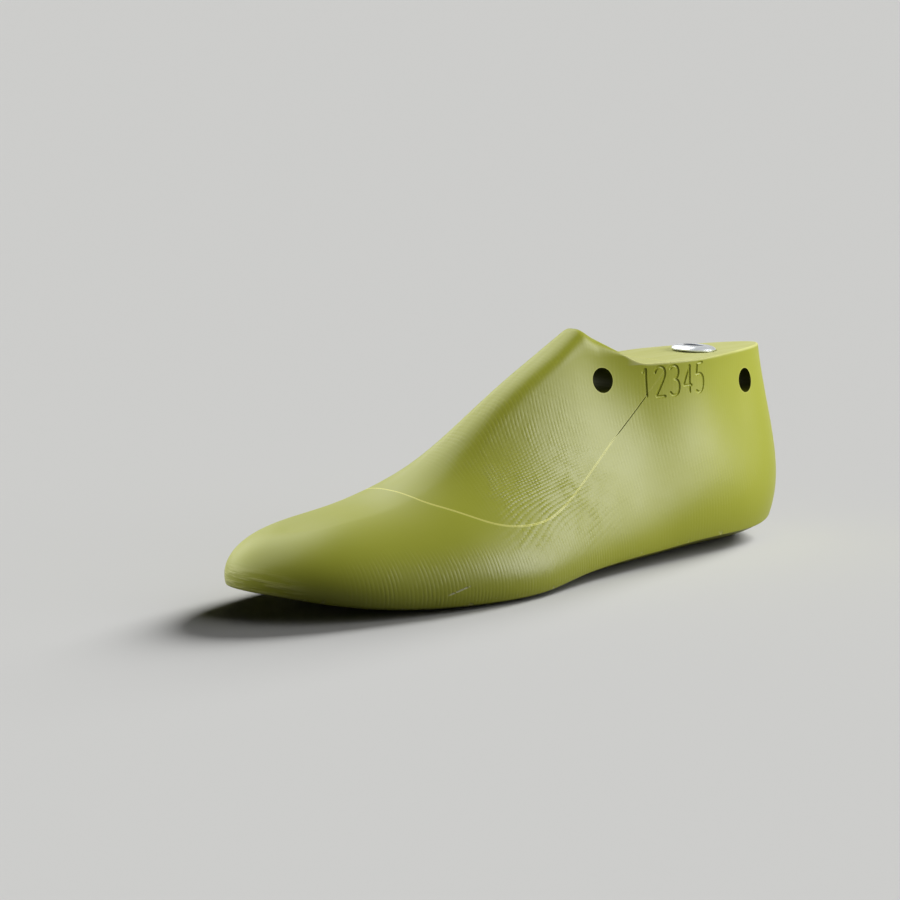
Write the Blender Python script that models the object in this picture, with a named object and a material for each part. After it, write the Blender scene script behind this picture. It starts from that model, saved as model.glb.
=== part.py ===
"""A left shoe last of solid plastic, with a sawn-out instep block that lifts off.

The frame is in metres with +Z up. The last stands on its sole, its toe points along -X,
its lateral side faces -Y, and the origin is under the middle of its box.
"""
import math

import bmesh
import bpy
import numpy as np
from mathutils import Matrix, Vector

MM = 0.001

# The last's ribs, from the toe tip round to the middle of the heel's back. Each rib is a
# curve that climbs from the feather edge of the sole to the crest, and it is given by
# foot x, lateral foot y, medial foot y, foot height, crest x, crest y, half the crest's width,
# lean and rise (how far out and up the wall sets off from the foot), and the reach and height
# of the shoulder that the wall bends over before it arrives at the crest.
RIBS = [
    (-140.5, 4, 4, 11.5, -117, 5, 0, 3, 11, 14.5, 30),
    (-135.5, -11.5, 19, 10.5, -112, 5, 5, 3.5, 12, 14, 30.8),
    (-116, -28, 33, 6.5, -100, 5, 7, 5, 14, 15.5, 32.6),
    (-87, -38, 39, 2.8, -80, 5, 7.5, 6, 15, 18, 34.2),
    (-58, -43, 41, 1.5, -56, 4, 7.5, 7, 17, 17, 37.6),
    (-30, -43.5, 36, 1.6, -31, 2.5, 8, 6, 17, 9, 42.4),
    (-3, -38, 28, 3.6, -6, 1, 8, 5, 16, 4, 48.5),
    (18, -34, 25, 4.4, 14, 0.5, 8, 4.5, 16.5, 2, 51.6),
    (34, -32, 25, 4.8, 30, 0, 7.8, 4.6, 17.6, 1, 52),
    (48, -30.5, 25.5, 5, 43, 0, 11, 5, 19.5, 0, 49.6),
    (62, -29.5, 26, 5.5, 57, 0, 15.5, 5.8, 21.7, -1, 47),
    (88, -28, 27.5, 6, 84, 0, 19.3, 6.5, 24, -2, 46.2),
    (112, -24.5, 24, 6.4, 111, 0, 13.5, 7, 25, -1.5, 47.5),
    (130.2, -14, 14, 9, 129, 0, 7, 8.5, 22, 2, 52),
    (135.8, 0, 0, 11, 135.5, 0, 0, 9.5, 19, 3.5, 54.7),
]

# The crest from the toe to the peak of the cone, as x and height on the centre line.
CREST = [(-117, 31), (-100, 33.6), (-80, 36.4), (-56, 44.6), (-31, 59.4), (-6, 75.4),
         (14, 86.2), (30, 95.6)]

# The flat that is milled behind the cone, and the slope that climbs from it to the peak. The
# walls were turned before the top was cut, so they aim at a crest that is blended more.
PLATE_HEIGHT = 78.7
SLOPE_FOOT_X = 52.3
SLOPE_ANGLE = math.radians(33.0)
PEAK_BLEND = 1.5
WALL_BLEND = 16.0
SLOPE_BLEND = 3.0

# How far the rounding between wall and crest reaches from their corner: along the cone's
# ridge and at the edge of the plate, and the crest's x where it turns from one to the other.
# A narrow crest limits it to a share of half the crest's width and a little more.
RIDGE_ROUND = 9.0
PLATE_ROUND = 0.7
ROUND_TURNS_X = (31.0, 46.0)
NARROW_SHARE = 0.8
NARROW_ROUND = 0.5

# How far the sole is crowned below the feather edge, the width at which it gets there, and
# the x between which it grows, from the flat toe to the ball. It is planed off at height zero.
SOLE_CROWN = 7.0
CROWN_WIDTH = 45.0
CROWN_GROWS_X = (-135.0, -60.0)

# The saw cut under the instep block, as x and height in side view, toe end first.
SCOOP = [(-67.5, 47), (-66.6, 39.2), (-60, 35.3), (-45, 28.9), (-30, 26.4), (-15, 27.3),
         (0, 32.2), (20, 42.4), (36, 52), (48, 60.4), (58, 69.7), (66, 78.6)]
SCOOP_ANGLE = math.radians(48.0)
SAW_KERF = 0.4
LIFT_ANGLE = math.radians(52.0)

# The drilled cross holes that a last hook or a hanging rod goes through: their diameter,
# and each one's x and depth below the plate.
CROSS_HOLE = 10.0
FRONT_HOLE = (34.5, 5.1)
REAR_HOLE = (115.6, 13.0)

# The steel thimble that takes the pin of a last jack.
THIMBLE_X = 98.2
THIMBLE_LEAN = math.radians(4.0)
THIMBLE_BORE = 7.5
THIMBLE_WALL = 1.6
THIMBLE_LENGTH = 45.0
FLANGE_DIAMETER = 18.5
FLANGE_EDGE = 0.7
FLANGE_DOME = 1.5
SPOT_FACE_DEPTH = 0.3

# The slotted spring pins in the seat, and the bushes that they enter in the block.
PIN_DIAMETER = 5.0
PIN_WALL = 1.0
PIN_SLOT = 0.9
PIN_CHAMFER = 0.5
PIN_IN_BODY = 14.0
PIN_IN_BLOCK = 13.0
PIN_X = -40.0
PIN_SPACING = 20.0
BUSH_WALL = 1.5
BUSH_LENGTH = 10.0
BUSH_RECESS = 4.5

# Clearances: between pieces that touch, and past the end of a blind hole.
GAP = 0.3
END_GAP = 1.0

# Mesh fineness.
STEPS_PER_RIB = 3
WALL_STEPS = 12
ROUNDING_STEPS = 3
SOLE_STEPS = 8
ROUND_STEPS = 32
PIN_STEPS = 16

# The last's length along its sole. A cutter as long as this leaves it on every side.
SOLE_LENGTH = RIBS[-1][0] - RIBS[0][0]


def clear_scene():
    for item in list(bpy.data.objects):
        bpy.data.objects.remove(item, do_unlink=True)


def plastic(name, colour, roughness, metallic=0.0):
    """A Principled material of one colour."""
    material = bpy.data.materials.new(name)
    material.use_nodes = True
    shader = material.node_tree.nodes["Principled BSDF"]
    shader.inputs["Base Color"].default_value = (*colour, 1.0)
    shader.inputs["Roughness"].default_value = roughness
    shader.inputs["Metallic"].default_value = metallic
    return material


def spline_bends(knots, rows, closed):
    """Second derivatives at the knots of the cubic spline through the rows."""
    count = len(rows)
    matrix = np.zeros((count, count))
    right = np.zeros_like(rows)
    gaps = np.diff(knots)
    for i in range(count):
        if not closed and i in (0, count - 1):
            matrix[i, i] = 1.0
            continue
        before, after = gaps[i - 1], gaps[i]
        left, ahead = (i - 1) % count, (i + 1) % count
        matrix[i, left] += before
        matrix[i, i] += 2 * (before + after)
        matrix[i, ahead] += after
        right[i] = 6 * ((rows[ahead] - rows[i]) / after - (rows[i] - rows[left]) / before)
    return np.linalg.solve(matrix, right)


def spline(knots, rows, places, closed=False):
    """The cubic spline through the rows, read at the given places."""
    rows = np.array(rows, float)
    bends = spline_bends(knots, rows, closed)
    values = []
    for place in places:
        i = min(max(int(np.searchsorted(knots, place, side="right")) - 1, 0), len(knots) - 2)
        j = (i + 1) % len(rows)
        gap = knots[i + 1] - knots[i]
        on, back = place - knots[i], knots[i + 1] - place
        values.append((bends[i] * back ** 3 + bends[j] * on ** 3) / (6 * gap)
                      + (rows[i] / gap - bends[i] * gap / 6) * back
                      + (rows[j] / gap - bends[j] * gap / 6) * on)
    return np.array(values)


def smooth_min(a, b, blend):
    """The lower of two heights, rounded where they meet."""
    overlap = max(blend - abs(a - b), 0.0) / blend
    return min(a, b) - overlap * overlap * blend / 4


def smooth_max(a, b, blend):
    return -smooth_min(-a, -b, blend)


def crest_height(x, peak_blend=PEAK_BLEND):
    """Height of the crest: up the instep to the peak, then down to the milled plate."""
    xs = [point[0] for point in CREST]
    heights = [[point[1]] for point in CREST]
    last_slope = (CREST[-1][1] - CREST[-2][1]) / (CREST[-1][0] - CREST[-2][0])
    ridge = spline(xs, heights, [min(x, xs[-1])])[0][0] + max(x - xs[-1], 0.0) * last_slope
    slope = PLATE_HEIGHT + (SLOPE_FOOT_X - x) * math.tan(SLOPE_ANGLE)
    return smooth_min(ridge, smooth_max(slope, PLATE_HEIGHT, SLOPE_BLEND), peak_blend)


def share(value, low, high):
    """How far a value has come from low to high, from 0 to 1."""
    return min(max((value - low) / (high - low), 0.0), 1.0)


def crest_round(x, half_width):
    """How far the rounding reaches from the corner of wall and crest."""
    turned_sharp = share(x, *ROUND_TURNS_X)
    reach = RIDGE_ROUND + (PLATE_ROUND - RIDGE_ROUND) * turned_sharp
    return min(reach, NARROW_SHARE * abs(half_width) + NARROW_ROUND)


def rib_places():
    """Each rib's place along the loop round the last, the same on both sides."""
    feet = np.array([rib[0] for rib in RIBS])
    widths = np.array([(rib[2] - rib[1]) / 2 for rib in RIBS])
    steps = np.hypot(np.diff(feet), np.diff(widths))
    return np.concatenate([[0.0], np.cumsum(steps)])


def rib_loop(steps):
    """Ribs all round the last: toe tip, lateral side, heel, then the medial side."""
    half = rib_places()
    lateral = [(r[0], r[1], r[3], r[4], r[5] - r[6], *r[6:]) for r in RIBS]
    medial = [(r[0], r[2], r[3], r[4], r[5] + r[6], *r[6:]) for r in RIBS]
    rows = np.array(lateral + medial[-2:0:-1], float)
    round_trip = 2 * half[-1]
    knots = np.concatenate([half, round_trip - half[-2::-1]])
    fine = [half[i] + (half[i + 1] - half[i]) * j / steps
            for i in range(len(half) - 1) for j in range(steps)]
    places = fine + [half[-1]] + [round_trip - place for place in fine[:0:-1]]
    ribs = spline(knots, rows, places, closed=True)
    nudge = 0.5
    ahead = spline(knots, rows, [(place + nudge) % round_trip for place in places], closed=True)
    behind = spline(knots, rows, [(place - nudge) % round_trip for place in places], closed=True)
    return ribs, ahead - behind


def bezier(points, t):
    """The point at t of a Bezier curve of any order."""
    while len(points) > 1:
        points = [first.lerp(second, t) for first, second in zip(points, points[1:])]
    return points[0]


def wall_points(steps, levels, rounding):
    """The wall's points and those of its rounding, one list for each rib, foot first."""
    ribs, along = rib_loop(steps)
    columns = []
    for rib, run in zip(ribs, along):
        foot_x, foot_y, foot_z, head_x, head_y, half_width, lean, rise, reach, height = rib
        out = Vector((run[1], -run[0], 0.0)).normalized()
        foot = Vector((foot_x, foot_y, foot_z))
        head = Vector((head_x, head_y, crest_height(head_x)))
        goal = Vector((head_x, head_y, crest_height(head_x, WALL_BLEND)))
        low = foot + out * lean + Vector((0, 0, rise))
        shoulder = head + out * reach
        shoulder.z = height
        corner = crest_round(head_x, half_width)
        end = 1 - corner / (3 * (goal - shoulder).length)
        column = [bezier([foot, low, shoulder, goal], end * level / levels)
                  for level in range(levels + 1)]
        rim = head - out * corner
        rim.z = crest_height(rim.x)
        column += [bezier([column[-1], head, rim], step / rounding)
                   for step in range(1, rounding + 1)]
        columns.append(column)
    return columns


def last_form():
    """The whole last as one closed mesh, before it is sawn and drilled."""
    columns = wall_points(STEPS_PER_RIB, WALL_STEPS, ROUNDING_STEPS)
    count = len(columns)
    heel = count // 2
    mesh = bmesh.new()
    grid = [[mesh.verts.new(point) for point in column] for column in columns]
    for i in range(count):
        j = (i + 1) % count
        for level in range(WALL_STEPS + ROUNDING_STEPS):
            mesh.faces.new((grid[i][level], grid[j][level],
                            grid[j][level + 1], grid[i][level + 1]))
    sole_rows = [[grid[0][0]]]
    for i in range(1, heel):
        near, far = grid[i][0], grid[count - i][0]
        crown = SOLE_CROWN * min((far.co - near.co).length / CROWN_WIDTH, 1.0)
        row = [near]
        for step in range(1, SOLE_STEPS):
            across = step / SOLE_STEPS
            point = near.co.lerp(far.co, across)
            drop = crown * share(point.x, *CROWN_GROWS_X) * 4 * across * (1 - across)
            point.z = max(point.z - drop, 0.0)
            row.append(mesh.verts.new(point))
        sole_rows.append(row + [far])
    sole_rows.append([grid[heel][0]])
    crest_rows = [[grid[0][-1]]]
    crest_rows += [[grid[i][-1], grid[count - i][-1]] for i in range(1, heel)]
    crest_rows.append([grid[heel][-1]])
    for rows in (sole_rows, crest_rows):
        for front, back in zip(rows, rows[1:]):
            for k in range(max(len(front), len(back)) - 1):
                corners = [*front[k:k + 2], *reversed(back[k:k + 2])]
                if len(front) == 1:
                    corners = [front[0], *reversed(back[k:k + 2])]
                if len(back) == 1:
                    corners = [*front[k:k + 2], back[0]]
                mesh.faces.new(corners)
    bmesh.ops.recalc_face_normals(mesh, faces=mesh.faces)
    bmesh.ops.scale(mesh, vec=(MM, MM, MM), verts=mesh.verts)
    data = bpy.data.meshes.new("last_form")
    mesh.to_mesh(data)
    mesh.free()
    return data


def add_object(name, data, frame, material=None, matrix=None):
    """Link a mesh as an object under the frame's empty, in millimetre places."""
    item = bpy.data.objects.new(name, data)
    bpy.context.scene.collection.objects.link(item)
    item.parent = frame
    if matrix is not None:
        item.matrix_local = matrix
    if material:
        item.data.materials.clear()
        item.data.materials.append(material)
    return item


def add_cutter(name, data, frame, matrix=None):
    cutter = add_object(name, data, frame, matrix=matrix)
    cutter.hide_render = True
    cutter.display_type = "WIRE"
    return cutter


def cut(item, cutter, operation="DIFFERENCE"):
    step = item.modifiers.new(cutter.name, "BOOLEAN")
    step.operation = operation
    step.solver = "EXACT"
    step.object = cutter


def shade_round(data, angle=30.0):
    data.shade_smooth()
    data.set_sharp_from_angle(angle=math.radians(angle))


def turned(name, profile, steps=ROUND_STEPS):
    """A closed profile of radius and height, turned about Z."""
    mesh = bmesh.new()
    rings = []
    for step in range(steps):
        angle = 2 * math.pi * step / steps
        rings.append([mesh.verts.new((r * math.cos(angle) * MM, r * math.sin(angle) * MM, z * MM))
                      for r, z in profile])
    for ring, following in zip(rings, rings[1:] + rings[:1]):
        for k in range(len(profile)):
            n = (k + 1) % len(profile)
            mesh.faces.new((ring[k], following[k], following[n], ring[n]))
    bmesh.ops.recalc_face_normals(mesh, faces=mesh.faces)
    data = bpy.data.meshes.new(name)
    mesh.to_mesh(data)
    mesh.free()
    shade_round(data)
    return data


def rod(name, radius, low, high, steps=ROUND_STEPS):
    """A plain round cutter along Z."""
    mesh = bmesh.new()
    bmesh.ops.create_cone(mesh, cap_ends=True, segments=steps, radius1=radius * MM,
                          radius2=radius * MM, depth=(high - low) * MM,
                          matrix=Matrix.Translation((0, 0, (low + high) / 2 * MM)))
    data = bpy.data.meshes.new(name)
    mesh.to_mesh(data)
    mesh.free()
    return data


def scoop_curve(offset):
    """The saw cut in side view, moved towards the sole by the offset."""
    knots = [0.0]
    for first, second in zip(SCOOP, SCOOP[1:]):
        knots.append(knots[-1] + math.dist(first, second))
    samples = 4 * (len(SCOOP) - 1)
    places = [knots[-1] * i / samples for i in range(samples + 1)]
    points = [Vector(point) for point in spline(knots, SCOOP, places)]
    run = Vector((math.cos(SCOOP_ANGLE), math.sin(SCOOP_ANGLE)))
    points.append(points[-1] + run * SOLE_LENGTH)
    moved = []
    for i, point in enumerate(points):
        along = points[min(i + 1, len(points) - 1)] - points[max(i - 1, 0)]
        if i >= len(points) - 2:
            along = run
        down = Vector((along.y, -along.x)).normalized()
        moved.append(point + down * offset)
    return moved


def scoop_prism(name, offset):
    """Everything above the saw cut, from side to side of the last."""
    curve = scoop_curve(offset)
    roof = curve[-1].y
    outline = [(point.x, point.y) for point in curve] + [(curve[0].x, roof)]
    mesh = bmesh.new()
    face = mesh.faces.new([mesh.verts.new((x * MM, -SOLE_LENGTH / 2 * MM, z * MM))
                           for x, z in outline])
    swept = bmesh.ops.extrude_face_region(mesh, geom=[face])
    moved = [item for item in swept["geom"] if isinstance(item, bmesh.types.BMVert)]
    bmesh.ops.translate(mesh, vec=(0, SOLE_LENGTH * MM, 0), verts=moved)
    bmesh.ops.recalc_face_normals(mesh, faces=mesh.faces)
    data = bpy.data.meshes.new(name)
    mesh.to_mesh(data)
    mesh.free()
    return data


def cut_height(x):
    """Height of the saw cut at x."""
    curve = scoop_curve(0.0)
    for first, second in zip(curve, curve[1:]):
        if first.x <= x <= second.x and second.x > first.x:
            return first.y + (second.y - first.y) * (x - first.x) / (second.x - first.x)
    return curve[-1].y


def across_at(hole):
    """A matrix that lays a rod along Y at a cross hole."""
    x, depth = hole
    return Matrix.Translation((x * MM, 0, (PLATE_HEIGHT - depth) * MM)) @ Matrix.Rotation(
        math.radians(90.0), 4, "X")


def pin_matrix(side):
    """Origin of a pin where its axis crosses the saw cut, with +Z along the lift."""
    origin = Vector((PIN_X, side * PIN_SPACING / 2, cut_height(PIN_X))) * MM
    return Matrix.Translation(origin) @ Matrix.Rotation(math.radians(90.0) - LIFT_ANGLE, 4, "Y")


def thimble_matrix():
    """Origin where the thimble's axis meets its spot face, with +Z leaning to the heel."""
    lean = Matrix.Rotation(THIMBLE_LEAN, 4, "Y")
    sunk = Matrix.Translation((0, 0, -SPOT_FACE_DEPTH * MM))
    return Matrix.Translation((THIMBLE_X * MM, 0, PLATE_HEIGHT * MM)) @ lean @ sunk


def thimble(frame, steel):
    """A turned steel tube with a domed flange, which rests in its spot face on the plate."""
    bore = THIMBLE_BORE / 2
    tube = bore + THIMBLE_WALL
    flange = FLANGE_DIAMETER / 2
    lip = FLANGE_DOME / 2
    profile = [(bore, GAP - THIMBLE_LENGTH), (tube, GAP - THIMBLE_LENGTH), (tube, GAP),
               (flange, GAP), (flange, GAP + FLANGE_EDGE)]
    dome_start = math.radians(12.0)
    for step in range(1, 6):
        angle = dome_start + (math.radians(90.0) - dome_start) * step / 5
        profile.append((tube + (flange - tube) * math.cos(angle) * 0.96,
                        GAP + FLANGE_EDGE + FLANGE_DOME * math.sin(angle)))
    top = GAP + FLANGE_EDGE + FLANGE_DOME
    profile += [(bore + lip, top), (bore + lip * 0.3, top - lip * 0.3), (bore, top - lip)]
    data = turned("jack_thimble", profile)
    return add_object("jack_thimble", data, frame, steel, thimble_matrix())


def spring_pin(name, frame, steel, matrix):
    """A rolled steel pin with a slot down its whole length and chamfered ends."""
    outer = PIN_DIAMETER / 2
    inner = outer - PIN_WALL
    stations = [(-PIN_IN_BODY, PIN_CHAMFER), (-PIN_IN_BODY + PIN_CHAMFER, 0),
                (PIN_IN_BLOCK - PIN_CHAMFER, 0), (PIN_IN_BLOCK, PIN_CHAMFER)]
    half_slot = PIN_SLOT / 2
    mesh = bmesh.new()
    rings = []
    for height, taper in stations:
        ring = []
        for radius in (outer - taper, inner):
            start = math.asin(half_slot / radius)
            ring.append([])
            for step in range(PIN_STEPS + 1):
                angle = start + (2 * math.pi - 2 * start) * step / PIN_STEPS
                ring[-1].append(mesh.verts.new((radius * math.cos(angle) * MM,
                                                radius * math.sin(angle) * MM, height * MM)))
        rings.append(ring)
    for low, high in zip(rings, rings[1:]):
        for skin in (0, 1):
            for k in range(PIN_STEPS):
                mesh.faces.new((low[skin][k], low[skin][k + 1], high[skin][k + 1], high[skin][k]))
        for k in (0, PIN_STEPS):
            mesh.faces.new((low[0][k], low[1][k], high[1][k], high[0][k]))
    for ring in (rings[0], rings[-1]):
        for k in range(PIN_STEPS):
            mesh.faces.new((ring[0][k], ring[0][k + 1], ring[1][k + 1], ring[1][k]))
    bmesh.ops.recalc_face_normals(mesh, faces=mesh.faces)
    data = bpy.data.meshes.new(name)
    mesh.to_mesh(data)
    mesh.free()
    shade_round(data)
    return add_object(name, data, frame, steel, matrix)


def bush(name, frame, brass, matrix):
    """A turned brass sleeve, sunk in the block below the saw cut's slant."""
    inner = PIN_DIAMETER / 2 + GAP
    outer = inner + BUSH_WALL
    lead = BUSH_WALL / 3
    top = BUSH_RECESS + BUSH_LENGTH
    profile = [(inner + lead, BUSH_RECESS), (outer, BUSH_RECESS), (outer, top), (inner, top),
               (inner, BUSH_RECESS + lead)]
    return add_object(name, turned(name, profile), frame, brass, matrix)


def build():
    clear_scene()
    green = plastic("green_polyethylene", (0.36, 0.40, 0.07), 0.42)
    steel = plastic("zinc_plated_steel", (0.72, 0.72, 0.70), 0.25, 1.0)
    spring_steel = plastic("spring_steel", (0.38, 0.38, 0.40), 0.35, 1.0)
    brass = plastic("brass", (0.72, 0.53, 0.24), 0.30, 1.0)

    form = last_form()
    shade_round(form, 40.0)
    corners = np.array([vertex.co for vertex in form.vertices])
    middle = (corners.min(axis=0) + corners.max(axis=0)) / 2
    frame = bpy.data.objects.new("last_frame", None)
    bpy.context.scene.collection.objects.link(frame)
    frame.location = (-middle[0], -middle[1], 0.0)

    body = add_object("last_body", form, frame, green)
    block = add_object("instep_block", form.copy(), frame, green)

    seat = add_cutter("seat_cutter", scoop_prism("seat_cutter", SAW_KERF), frame)
    scoop = add_cutter("scoop_cutter", scoop_prism("scoop_cutter", 0.0), frame)
    cut(body, seat)
    cut(block, scoop, "INTERSECT")

    drill = rod("cross_drill", CROSS_HOLE / 2, -SOLE_LENGTH / 2, SOLE_LENGTH / 2)
    front_drill = add_cutter("front_drill", drill, frame, across_at(FRONT_HOLE))
    rear_drill = add_cutter("rear_drill", drill, frame, across_at(REAR_HOLE))
    cut(block, front_drill)
    cut(body, rear_drill)

    tube = THIMBLE_BORE / 2 + THIMBLE_WALL
    well = rod("thimble_well", tube + GAP, -THIMBLE_LENGTH - END_GAP, SOLE_LENGTH)
    spot_face = rod("thimble_spot_face", FLANGE_DIAMETER / 2 + GAP, 0.0, SOLE_LENGTH)
    for drilled in (well, spot_face):
        cut(body, add_cutter(drilled.name, drilled, frame, thimble_matrix()))
    thimble(frame, steel)

    pin_hole = rod("pin_hole", PIN_DIAMETER / 2 + GAP, -PIN_IN_BODY - END_GAP, SOLE_LENGTH,
                   PIN_STEPS)
    bush_outer = PIN_DIAMETER / 2 + GAP + BUSH_WALL
    bush_hole = rod("bush_hole", bush_outer + GAP, -SOLE_LENGTH,
                    BUSH_RECESS + BUSH_LENGTH + END_GAP)
    for side_name, side in (("lateral", -1), ("medial", 1)):
        place = pin_matrix(side)
        cut(body, add_cutter("pin_hole_" + side_name, pin_hole, frame, place))
        cut(block, add_cutter("bush_hole_" + side_name, bush_hole, frame, place))
        spring_pin("dowel_pin_" + side_name, frame, spring_steel, place)
        bush("pin_bush_" + side_name, frame, brass, place)


build()
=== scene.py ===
"""The looks of a left shoe last: its turned and sawn plastic, its thimble, pins and bushes.

The pieces are modelled in millimetres of the last's own drawing, whose centre line is X,
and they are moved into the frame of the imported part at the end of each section.
"""

import math

import bmesh
import bpy
import numpy as np
from mathutils import Matrix, Vector
from mathutils.bvhtree import BVHTree
from mathutils.kdtree import KDTree


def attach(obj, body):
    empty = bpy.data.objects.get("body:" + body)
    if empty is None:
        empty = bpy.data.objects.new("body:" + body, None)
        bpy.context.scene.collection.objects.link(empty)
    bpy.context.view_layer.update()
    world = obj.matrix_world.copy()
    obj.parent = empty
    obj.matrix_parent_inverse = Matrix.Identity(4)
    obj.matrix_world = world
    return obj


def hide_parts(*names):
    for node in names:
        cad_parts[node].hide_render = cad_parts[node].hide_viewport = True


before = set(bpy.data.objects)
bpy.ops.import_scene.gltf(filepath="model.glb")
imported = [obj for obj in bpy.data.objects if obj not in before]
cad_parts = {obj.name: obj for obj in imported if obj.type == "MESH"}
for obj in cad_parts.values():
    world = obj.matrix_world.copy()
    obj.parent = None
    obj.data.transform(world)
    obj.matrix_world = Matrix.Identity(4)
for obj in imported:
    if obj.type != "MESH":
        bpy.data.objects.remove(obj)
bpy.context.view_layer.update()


# The turned blank: both plastic pieces start as one block of solid polyethylene. A copying
# lathe turns it between centres, the toe and heel are finished on a sander, and the flat top
# behind the cone is milled. Each row is one rib that climbs from the sole's edge to the crest.

# foot x, lateral foot y, medial foot y, foot height, crest x, crest y, half the crest's width,
# lean and rise of the wall at the foot, reach and height of its shoulder below the crest
RIBS = [
    (-140.5, 4, 4, 11.5, -117, 5, 0, 3, 11, 14.5, 30),
    (-135.5, -11.5, 19, 10.5, -112, 5, 5, 3.5, 12, 14, 30.8),
    (-116, -28, 33, 6.5, -100, 5, 7, 5, 14, 15.5, 32.6),
    (-87, -38, 39, 2.8, -80, 5, 7.5, 6, 15, 18, 34.2),
    (-58, -43, 41, 1.5, -56, 4, 7.5, 7, 17, 17, 37.6),
    (-30, -43.5, 36, 1.6, -31, 2.5, 8, 6, 17, 9, 42.4),
    (-3, -38, 28, 3.6, -6, 1, 8, 5, 16, 4, 48.5),
    (18, -34, 25, 4.4, 14, 0.5, 8, 4.5, 16.5, 2, 51.6),
    (34, -32, 25, 4.8, 30, 0, 7.8, 4.6, 17.6, 1, 52),
    (48, -30.5, 25.5, 5, 43, 0, 11, 5, 19.5, 0, 49.6),
    (62, -29.5, 26, 5.5, 57, 0, 15.5, 5.8, 21.7, -1, 47),
    (88, -28, 27.5, 6, 84, 0, 19.3, 6.5, 24, -2, 46.2),
    (112, -24.5, 24, 6.4, 111, 0, 13.5, 7, 25, -1.5, 47.5),
    (130.2, -14, 14, 9, 129, 0, 7, 8.5, 22, 2, 52),
    (135.8, 0, 0, 11, 135.5, 0, 0, 9.5, 19, 3.5, 54.7),
]
CREST = [(-117, 31), (-100, 33.6), (-80, 36.4), (-56, 44.6), (-31, 59.4), (-6, 75.4),
         (14, 86.2), (30, 95.6)]
PLATE_HEIGHT = 78.7
SLOPE_FOOT_X = 52.3
SLOPE = math.tan(math.radians(33.0))
PEAK_BLEND = 1.5
WALL_BLEND = 16.0
SLOPE_BLEND = 3.0
SOLE_CROWN = 7.0
CROWN_WIDTH = 45.0
CROWN_GROWS_X = (-135.0, -60.0)
CROWN_BLEND = 0.4
FEATHER_ROUND = 0.7
PLATE_ROUND = 0.7
RIDGE_ROUND = 9.0
ROUND_TURNS_X = (31.0, 46.0)
NARROW_SHARE = 0.8
NARROW_ROUND = 0.5
STEPS_PER_RIB = 14
RUN_STEP = 0.5
WALL_LEVELS = 64
ARC_STEPS = 8
SOLE_STEPS = 24
CREST_STEPS = 6


def spline(knots, rows, places, closed=False):
    """The cubic spline through the rows, read at the given places."""
    knots, rows, places = (np.asarray(values, float) for values in (knots, rows, places))
    count, gaps = len(rows), np.diff(knots)
    matrix, right = np.zeros((count, count)), np.zeros_like(rows)
    for i in range(count):
        if not closed and i in (0, count - 1):
            matrix[i, i] = 1.0
            continue
        before, after = gaps[i - 1], gaps[i]
        left, ahead = (i - 1) % count, (i + 1) % count
        matrix[i, left] += before
        matrix[i, i] += 2 * (before + after)
        matrix[i, ahead] += after
        right[i] = 6 * ((rows[ahead] - rows[i]) / after - (rows[i] - rows[left]) / before)
    bends = np.linalg.solve(matrix, right)
    i = np.clip(np.searchsorted(knots, places, side="right") - 1, 0, len(knots) - 2)
    j = (i + 1) % count
    gap = gaps[i][:, None]
    on = (places - knots[i])[:, None]
    back = gap - on
    return ((bends[i] * back ** 3 + bends[j] * on ** 3) / (6 * gap)
            + (rows[i] / gap - bends[i] * gap / 6) * back
            + (rows[j] / gap - bends[j] * gap / 6) * on)


def smooth_min(a, b, blend):
    """The lesser of two heights, rounded where they cross."""
    overlap = np.maximum(blend - np.abs(a - b), 0) / blend
    return np.minimum(a, b) - overlap * overlap * blend / 4


def share(value, low, high):
    """How far values have come from low to high, from 0 to 1."""
    return np.clip((value - low) / (high - low), 0, 1)


def crest_height(x, peak_blend=PEAK_BLEND):
    """Height of the crest: up the instep to the peak, then down to the milled plate."""
    xs, heights = np.array(CREST, float).T
    climb = (heights[-1] - heights[-2]) / (xs[-1] - xs[-2])
    ridge = spline(xs, heights[:, None], np.minimum(x, xs[-1]))[:, 0]
    ridge = ridge + np.maximum(x - xs[-1], 0) * climb
    slope = PLATE_HEIGHT + (SLOPE_FOOT_X - x) * SLOPE
    return smooth_min(ridge, -smooth_min(-slope, -PLATE_HEIGHT, SLOPE_BLEND), peak_blend)


def bezier(points, t):
    """A Bezier curve of any order through arrays of control points, read at t."""
    while len(points) > 1:
        points = [a * (1 - t) + b * t for a, b in zip(points, points[1:])]
    return points[0]


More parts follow.
